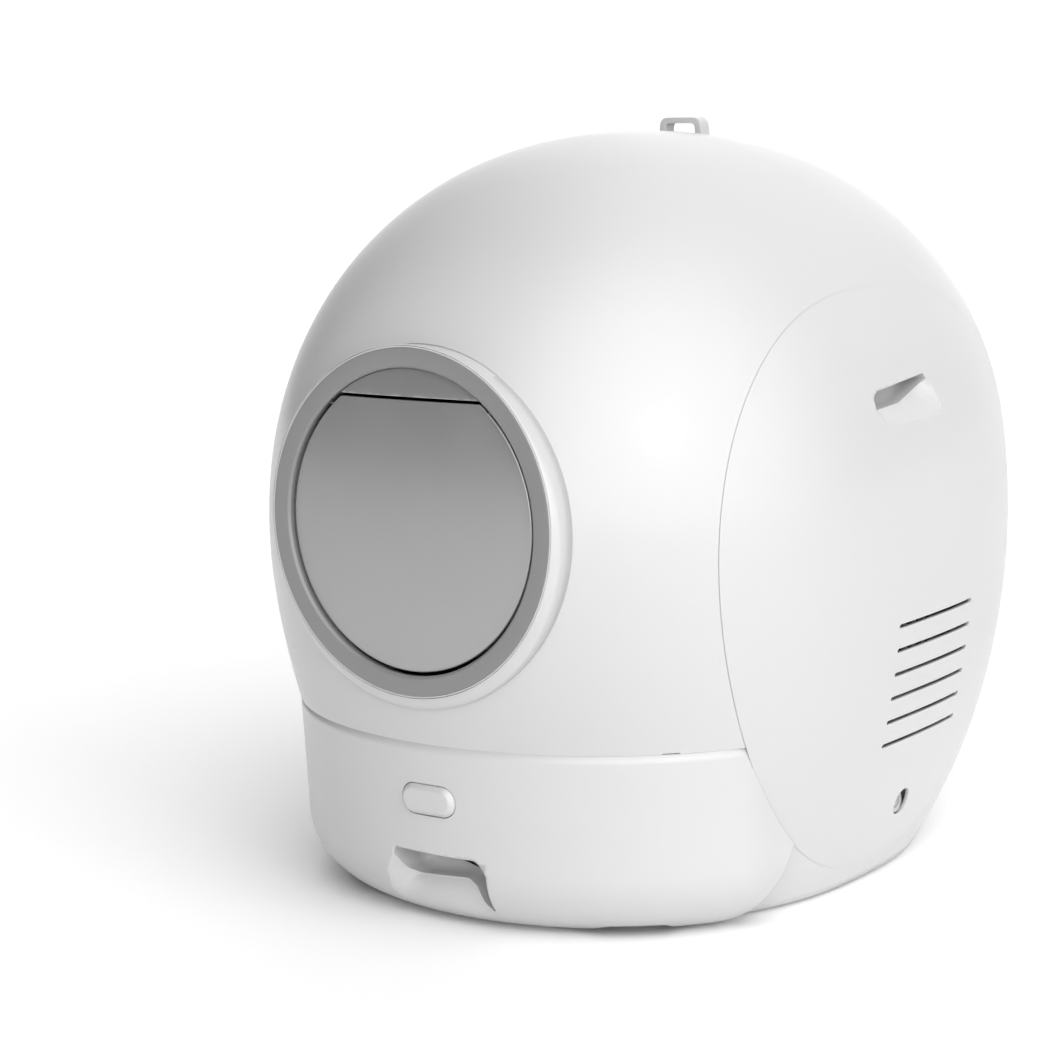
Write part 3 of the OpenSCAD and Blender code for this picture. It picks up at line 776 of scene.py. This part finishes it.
# ---- Drawer front and base ----
RAKE = 0.75               # slope of the drawer front's rear edge, back per upwards
RAKE_TOP_Z = 57           # the edge is upright above this
RAKE_LOW_Z = -10
BUTTON_Z = 95             # middle of the button's opening
BUTTON_HOLE = (47, 23)
SLED_X = 143              # the drawer front's floor is cut away between these, for the sled
NOSE_LOW_Z = 4.0          # underside of the drawer front
NOSE_TOP_GAP = 0.1        # between the drawer front and the seam
FLANGE_T = 4.0            # thickness of the drawer front's upper flange
NOSE_SIDE_W = 5.0         # its flat sides
EDGE_STEP = 0.7           # the drawer front is let in by this much under a cover's edge,
EDGE_GAP = 0.8            # this far in front of it
DRAWER_GAP = 1.0          # between the drawer front and the base
BASE_LOW_Z = 3            # underside of the base
BASE_TOP_GAP = 0.4        # between the base's wall and the seam
CORNER_X = 140            # beyond this the base's floor leaves room for the drawer front
LIP_GAP = 0.5             # between the hood's wall and the lip inside it
LIP_W = 2.2
LIP_X = 192.5             # flat sides of the lip, outside
LIP_IN_X = 190.0          # and inside


def cover_edge_y(z):
    """Where a cover's front edge lies at height z."""
    return WAIST_Y - front_d(z) * (1 - (FLAT_X / half_w(z)) ** 2) ** (1 / FRONT_POWER)


def drawer_zone(name, back):
    """Everything in front of the drawer front's raked rear edge."""
    low_y = DRAWER_END_Y - RAKE * (RAKE_TOP_Z - RAKE_LOW_Z) + back
    top_y = DRAWER_END_Y + back
    outline = [(-500, RAKE_LOW_Z), (low_y, RAKE_LOW_Z), (top_y, RAKE_TOP_Z), (top_y, 200), (-500, 200)]
    return prism_x(name, outline, -OUT_X, OUT_X)


def make_drawer_front():
    """Round-nosed drawer front with its finger scoop and button opening."""
    front = chin("drawer_nose", 0.0, NOSE_LOW_Z, SEAM_Z - NOSE_TOP_GAP, DRAWER_FLAT_X)
    uncut = copy_of(front, "uncut_chin")
    inner = chin("nose_inner", WALL, NOSE_LOW_Z + WALL, SEAM_Z - FLANGE_T, DRAWER_FLAT_X, NOSE_SIDE_W)
    combine(front, drawer_zone("zone", 0.0), "INTERSECT")
    combine(inner, drawer_zone("zone", 2.0), "INTERSECT")
    combine(front, inner, "DIFFERENCE")
    combine(front, block("floor_room", (-SLED_X, -222, 0), (SLED_X, -100, 8)), "DIFFERENCE")
    mouth = chin("mouth", FLANGE_W, CHIN_ROUND / 2, SEAM_Z + 1, FLAT_X)
    inset = FLAT_X - FLANGE_W
    combine(mouth, block("upper", (-inset, -400, SEAM_Z - 7), (inset, -60, SEAM_Z + 2)), "INTERSECT")
    combine(front, mouth, "DIFFERENCE")
    for cup in drawer_scoop("cup", CUP_WALL):
        combine(cup, copy_of(uncut, "cup_trim"), "INTERSECT")
        combine(front, cup, "UNION")
    scoop = drawer_scoop("scoop")
    for tool in scoop:
        combine(front, tool, "DIFFERENCE", keep_tool=True)
    outline = [(x, BUTTON_Z + z) for x, z in stadium(*BUTTON_HOLE, 20)]
    combine(front, prism_y("button_hole", outline, -320, -240), "DIFFERENCE")
    heights = np.arange(40, 153, 4.0)
    for side in (-1, 1):
        edge = [(float(cover_edge_y(z)) - EDGE_GAP, float(z)) for z in heights]
        low_x, high_x = across(side, FLAT_X - EDGE_STEP, OUT_X)
        combine(front, prism_x("edge", [(100, 40)] + edge + [(100, 152)], low_x, high_x), "DIFFERENCE")
    tidy(front, 0.1)
    round_edges(front, 0.2, angle=42)
    shade(front, (uncut, *scoop), agree=0.6)
    for tool in scoop:
        drop(tool)
    drop(uncut)
    finish_piece(front, "drawer", WHITE, "white_plastic", "drawer_front", "drawer_grip_cup")


def make_base():
    """Lower body: floor, walls behind the drawer front and the lip the hood sits on."""
    flat = FLAT_X - 1
    base = copy_of(SKIN, "base")
    top_z = SEAM_Z - BASE_TOP_GAP
    combine(base, block("trim", (-flat, -OUT_Y, BASE_LOW_Z), (flat, OUT_Y, top_z)), "INTERSECT")
    inner = copy_of(SKIN_INNER, "base_inner")
    inset, floor_z = flat - WALL, BASE_LOW_Z + WALL
    combine(inner, block("trim", (-inset, -OUT_Y, floor_z), (inset, OUT_Y, SEAM_Z + 1)), "INTERSECT")
    combine(base, inner, "DIFFERENCE")
    zone = drawer_zone("zone", DRAWER_GAP)
    combine(zone, block("above", (-400, -500, floor_z), (400, 400, SEAM_Z + 1)), "INTERSECT")
    combine(base, zone, "DIFFERENCE")
    for side in (-1, 1):
        low_x, high_x = across(side, CORNER_X, OUT_X)
        zone = drawer_zone("zone", DRAWER_GAP)
        combine(zone, block("outer", (low_x, -500, 0), (high_x, 0, 20)), "INTERSECT")
        combine(base, zone, "DIFFERENCE")
    lip = egg("lip", WALL + LIP_GAP)
    low_y = DRAWER_END_Y + 6
    combine(lip, block("trim", (-LIP_X, low_y, SEAM_Z - 6), (LIP_X, OUT_Y, SEAM_Z + 7)), "INTERSECT")
    lip_inner = egg("lip_inner", WALL + LIP_GAP + LIP_W)
    low, high = (-LIP_IN_X, -400, SEAM_Z - 8), (LIP_IN_X, 400, SEAM_Z + 9)
    combine(lip_inner, block("trim", low, high), "INTERSECT")
    combine(lip, lip_inner, "DIFFERENCE")
    combine(base, lip, "UNION")
    tidy(base)
    round_edges(base, 0.5, angle=40)
    shade(base, (SKIN, SKIN_INNER))
    finish_piece(base, "base", WHITE, "white_plastic", "base_shell")


# ---- Entrance ----
FLAP_GAP = 2.5            # between the flap and the ring
FLAP_R = RING_BORE - FLAP_GAP
FLAP_RECESS = 3.5         # flap's rim behind the ring's face
FLAP_DOME = 8.0           # how far its middle stands out from its rim
FLAP_T = 5.0
HEADER_T = 2.5
DISC_STEPS = 200          # steps round a domed disc
DISC_ROWS = 40            # and from its middle to its rolled rim
DISC_ROLL = 1.2           # radius of the rolled rim
DISC_CORE = 0.02          # radius of the closing face in the middle
DISC_BAND = (3, 12)       # flat band behind the rim: where it starts and ends, in from the rim
DISC_BACK = 0.8           # share of the thickness behind the dome
COLLAR_DEPTH = 28
COLLAR_W = 5.5
ROD_R = 1.1
ROD_Y = 4.6               # hinge rod behind the ring's face
ROD_BELOW = 5             # and below the flap's straight edge


def make_ring():
    """Ring in two mouldings: a white collar and a grey face set into it."""
    face = [(RING_BORE, 5), (RING_BORE, 1.6), (RING_BORE + 1.6, 0), (RING_R - 1.3, 0), (RING_R - 1.3, 4),
            (RING_BORE + 2, 4), (RING_BORE + 2, 5)]
    face = lathe("ring_face", fillet(face, [0.3, 0.9, 0.9, 0.5, 0, 0, 0]))
    collar = [(RING_R - 1.2, 0.3), (RING_R - 0.2, 0.3), (RING_R, 1.2), (RING_R, COLLAR_DEPTH),
              (RING_R - COLLAR_W, COLLAR_DEPTH), (RING_R - COLLAR_W, 10), (RING_BORE + 2, 10),
              (RING_BORE + 2, 5.2), (RING_R - 1.2, 5.2)]
    collar = lathe("ring_collar", fillet(collar, [0.3, 0.5, 0.6, 0, 0, 0, 0, 0, 0]))
    for piece in (face, collar):
        in_ring(piece)
        shade(piece)
    finish_piece(collar, "hood", WHITE, "white_plastic", "door_ring")
    finish_piece(face, "hood", GREY, "grey_plastic")


def dome_y(r, back=0.0):
    """Depth of the flap's outer surface at radius r."""
    cap = (FLAP_R ** 2 + FLAP_DOME ** 2) / (2 * FLAP_DOME)
    return FLAP_RECESS - FLAP_DOME + cap - math.sqrt(cap * cap - r * r) + back


def dome_disc(name, radius, thick):
    """Domed disc with a rolled rim, about the ring's axis."""
    edge = radius - DISC_ROLL
    profile = [(DISC_CORE, dome_y(0))]
    for i in range(1, DISC_ROWS + 1):
        r = edge * i / DISC_ROWS
        profile.append((r, dome_y(r)))
    for k in range(1, 6):
        a = math.pi / 2 * k / 5
        profile.append((edge + DISC_ROLL * math.sin(a), dome_y(edge) + DISC_ROLL * (1 - math.cos(a))))
    profile.append((radius, FLAP_RECESS + thick - 0.6))
    profile.append((radius - 0.6, FLAP_RECESS + thick))
    profile.append((radius - DISC_BAND[0], FLAP_RECESS + thick))
    for i in range(10, 0, -1):
        r = (radius - DISC_BAND[1]) * i / 10
        profile.append((r, dome_y(r, thick * DISC_BACK)))
    profile.append((DISC_CORE, dome_y(0, thick * DISC_BACK)))
    angles = np.linspace(0, 2 * math.pi, DISC_STEPS, False)
    return grid_object(name, [[(r * math.cos(a), y, r * math.sin(a)) for a in angles] for r, y in profile])


def make_flap():
    """Domed swing flap with a straight hinged edge."""
    flap = dome_disc("flap", FLAP_R, FLAP_T)
    uncut = copy_of(flap, "uncut_flap")
    combine(flap, block("chord", (-200, -60, CHORD_Z), (200, 60, 200)), "DIFFERENCE")
    tidy(flap, 0.05)
    round_edges(flap, 0.6, angle=50)
    in_ring(flap)
    in_ring(uncut)
    shade(flap, (uncut,), agree=0.7)
    drop(uncut)
    finish_piece(flap, "flap", FLAP, "flap_plastic", "door_flap")


def make_header():
    """Fixed segment above the flap."""
    header = dome_disc("header", RING_BORE, HEADER_T)
    combine(header, block("chord", (-200, -60, HEADER_UP), (200, 60, 200)), "INTERSECT")
    tidy(header, 0.05)
    round_edges(header, 0.4, angle=50)
    in_ring(header)
    shade(header)
    finish_piece(header, "hood", FLAP, "flap_plastic", "door_header")


def make_rod():
    """Slim hinge rod behind the flap's top edge."""
    low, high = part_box("hinge_rod")
    rod_z = CHORD_Z - ROD_BELOW
    section = [(ROD_Y + ROD_R * math.sin(a), rod_z + ROD_R * math.cos(a)) for a in turn(32)]
    rod = in_ring(prism_x("rod", section, low[0] / MM, high[0] / MM))
    shade(rod)
    finish_piece(rod, "hood", DARK_STEEL, "steel", "hinge_rod")


# ---- Small pieces ----
# Section of the button's rim: places in from its outline and behind its face
BUTTON_SECTION = ((4.4, 0.0), (3.5, 0.1), (2.8, 0.5), (1.1, 2.2), (0.5, 3.0), (0.1, 3.8), (0.0, 4.6))


def make_button():
    """Oblong latch button with a softly rounded face."""
    low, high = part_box("latch_button")
    front, rear = low[1] / MM, high[1] / MM
    z = (low[2] + high[2]) / 2 / MM
    length = (high[0] - low[0]) / MM
    height = (high[2] - low[2]) / MM
    rings = []
    for inset, depth in BUTTON_SECTION:
        outline = stadium(length - 2 * inset, height - 2 * inset, 24)
        rings.append([(px, front + depth, z + pz) for px, pz in outline])
    rings.append([(px, rear, z + pz) for px, pz in stadium(length, height, 24)])
    button = grid_object("button", rings)
    shade(button, sharp=60)
    finish_piece(button, "latch_button", WHITE, "white_plastic", "latch_button")


def make_loop():
    """Small carrying arch on the crown."""
    low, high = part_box("top_loop")
    x1, y0, y1 = high[0] / MM, low[1] / MM, high[1] / MM
    top, foot = high[2] / MM, low[2] / MM
    outer = [(-x1, foot), (x1, foot), (x1 - 1.5, top), (-x1 + 1.5, top)]
    outline = fillet(outer, [0, 0, 7, 7], 8)
    arch = prism_y("loop", outline, y0, y1)
    inner = [(-x1 + 5, foot - 8), (x1 - 5, foot - 8), (x1 - 6, top - 4.2), (-x1 + 6, top - 4.2)]
    combine(arch, prism_y("loop_hole", fillet(inner, [0, 0, 4, 4], 8), y0 - 5, y1 + 5), "DIFFERENCE")
    combine(arch, egg("crown", SKIN_STEP), "DIFFERENCE")
    tidy(arch, 0.05)
    round_edges(arch, 1.0, angle=40, segments=3)
    shade(arch, sharp=50)
    finish_piece(arch, "hood", WHITE, "white_plastic", "top_loop")


def dress_cad_nodes():
    """Materials for the CAD nodes that stay."""
    looks = {"white_plastic": WHITE, "pale_plastic": PALE, "grey_plastic": GREY, "flap_plastic": FLAP,
             "steel": STEEL, "rubber_feet": RUBBER, "carbon": CARBON}
    for part in frame["record"]["subparts"]:
        node = frame["nodes"][part["node"]]
        for slot in node.material_slots:
            slot.material = looks[part["material_slot"]]


# ---- Studio ----
FLOOR_HALF = 60000        # half the floor's width
KEY_PLACE = (1.892, -1.222, 1.281)    # of the key light, in metres
KEY_TARGET = (0.166, -0.222, 0.355)
KEY_SIZE = 0.3
KEY_WATTS = 3
SKY_BASE = 0.42           # the sky's strength where no lobe reaches
# Each lobe: its direction, the cosines from it at which the lobe starts and is full, and its strength
SKY_LOBES = [
    ((0, 0, 1), 0.1, 1.0, 0.12),
    ((0.75, -0.6, 0.3), 0.1, 1.0, 2.8),
    ((-0.83, -0.52, 0.2), 0.0, 0.8, -1.4),
    ((0.7, 0.7, 0.1), 0.1, 1.0, -0.6),
    ((-0.5, 0.8, 0.25), 0.0, 0.95, 1.1),
]


def make_camera():
    """Camera at the photograph's viewing angle."""
    azimuth, elevation, roll = math.radians(36.839), math.radians(9.693), math.radians(-1.702)
    distance, aim_x, aim_z = 2206.4, -86.25, 249.39
    right = Vector((math.cos(azimuth), math.sin(azimuth), 0))
    back = Vector((math.sin(azimuth) * math.cos(elevation), -math.cos(azimuth) * math.cos(elevation),
                   math.sin(elevation)))
    up = back.cross(right)
    aim = right * aim_x + Vector((0, WAIST_Y, aim_z))
    place = (aim + back * distance) * MM
    turned_right = right * math.cos(roll) + up * math.sin(roll)
    turned_up = up * math.cos(roll) - right * math.sin(roll)
    data = bpy.data.cameras.new("camera")
    data.sensor_width = 36.0
    data.lens = 100.52
    data.clip_end = 200.0
    camera = bpy.data.objects.new("camera", data)
    axes = Matrix((turned_right, turned_up, back)).transposed().to_4x4()
    camera.matrix_world = Matrix.Translation(place) @ axes
    bpy.context.scene.collection.objects.link(camera)
    bpy.context.scene.camera = camera


def area_light(name, place, target, size, watts):
    """Soft panel aimed at a point, all in metres."""
    data = bpy.data.lights.new(name, "AREA")
    data.energy = watts
    data.size = size
    light = bpy.data.objects.new(name, data)
    light.location = place
    aim = Vector(target) - Vector(place)
    light.rotation_euler = aim.to_track_quat("-Z", "Y").to_euler()
    bpy.context.scene.collection.objects.link(light)


def studio_sky(base, lobes):
    """White sky of even strength, with soft broad lobes that each add light from one side or take it away."""
    world = bpy.data.worlds.new("studio")
    bpy.context.scene.world = world
    world.use_nodes = True
    tree = world.node_tree
    place = tree.nodes.new("ShaderNodeTexCoord")
    total = None
    for direction, start, end, amount in lobes:
        lean = tree.nodes.new("ShaderNodeVectorMath")
        lean.operation = "DOT_PRODUCT"
        lean.inputs[1].default_value = Vector(direction).normalized()
        tree.links.new(place.outputs["Generated"], lean.inputs[0])
        soft = tree.nodes.new("ShaderNodeMapRange")
        soft.interpolation_type = "SMOOTHSTEP"
        soft.inputs["From Min"].default_value = start
        soft.inputs["From Max"].default_value = end
        soft.inputs["To Max"].default_value = amount
        tree.links.new(lean.outputs["Value"], soft.inputs["Value"])
        add = tree.nodes.new("ShaderNodeMath")
        add.operation = "ADD"
        add.inputs[0].default_value = base
        if total is not None:
            tree.links.new(total, add.inputs[0])
        tree.links.new(soft.outputs["Result"], add.inputs[1])
        total = add.outputs["Value"]
    floor_at_zero = tree.nodes.new("ShaderNodeMath")
    floor_at_zero.operation = "MAXIMUM"
    floor_at_zero.inputs[1].default_value = 0.0
    tree.links.new(total, floor_at_zero.inputs[0])
    tree.nodes["Background"].inputs["Color"].default_value = (1, 1, 1, 1)
    tree.links.new(floor_at_zero.outputs["Value"], tree.nodes["Background"].inputs["Strength"])


def make_studio():
    """Plain pale floor, soft light from the right and above, less from the left."""
    corners = [(x * FLOOR_HALF, y * FLOOR_HALF, 0) for x, y in ((-1, -1), (1, -1), (1, 1), (-1, 1))]
    floor = mesh_object("floor", corners, [(0, 1, 2, 3)])
    floor.data.materials.append(plastic("paper_white", (0.95, 0.95, 0.95), 0.85, vary=0.004))
    studio_sky(SKY_BASE, SKY_LOBES)
    area_light("key", KEY_PLACE, KEY_TARGET, KEY_SIZE, KEY_WATTS)
    bpy.context.scene.view_settings.view_transform = "Standard"


make_camera()
make_hood()
make_cover(1)
make_cover(-1)
make_drawer_front()
make_base()
make_ring()
make_flap()
make_header()
make_rod()
make_button()
make_loop()
dress_cad_nodes()
drop(SKIN)
drop(SKIN_INNER)
make_studio()
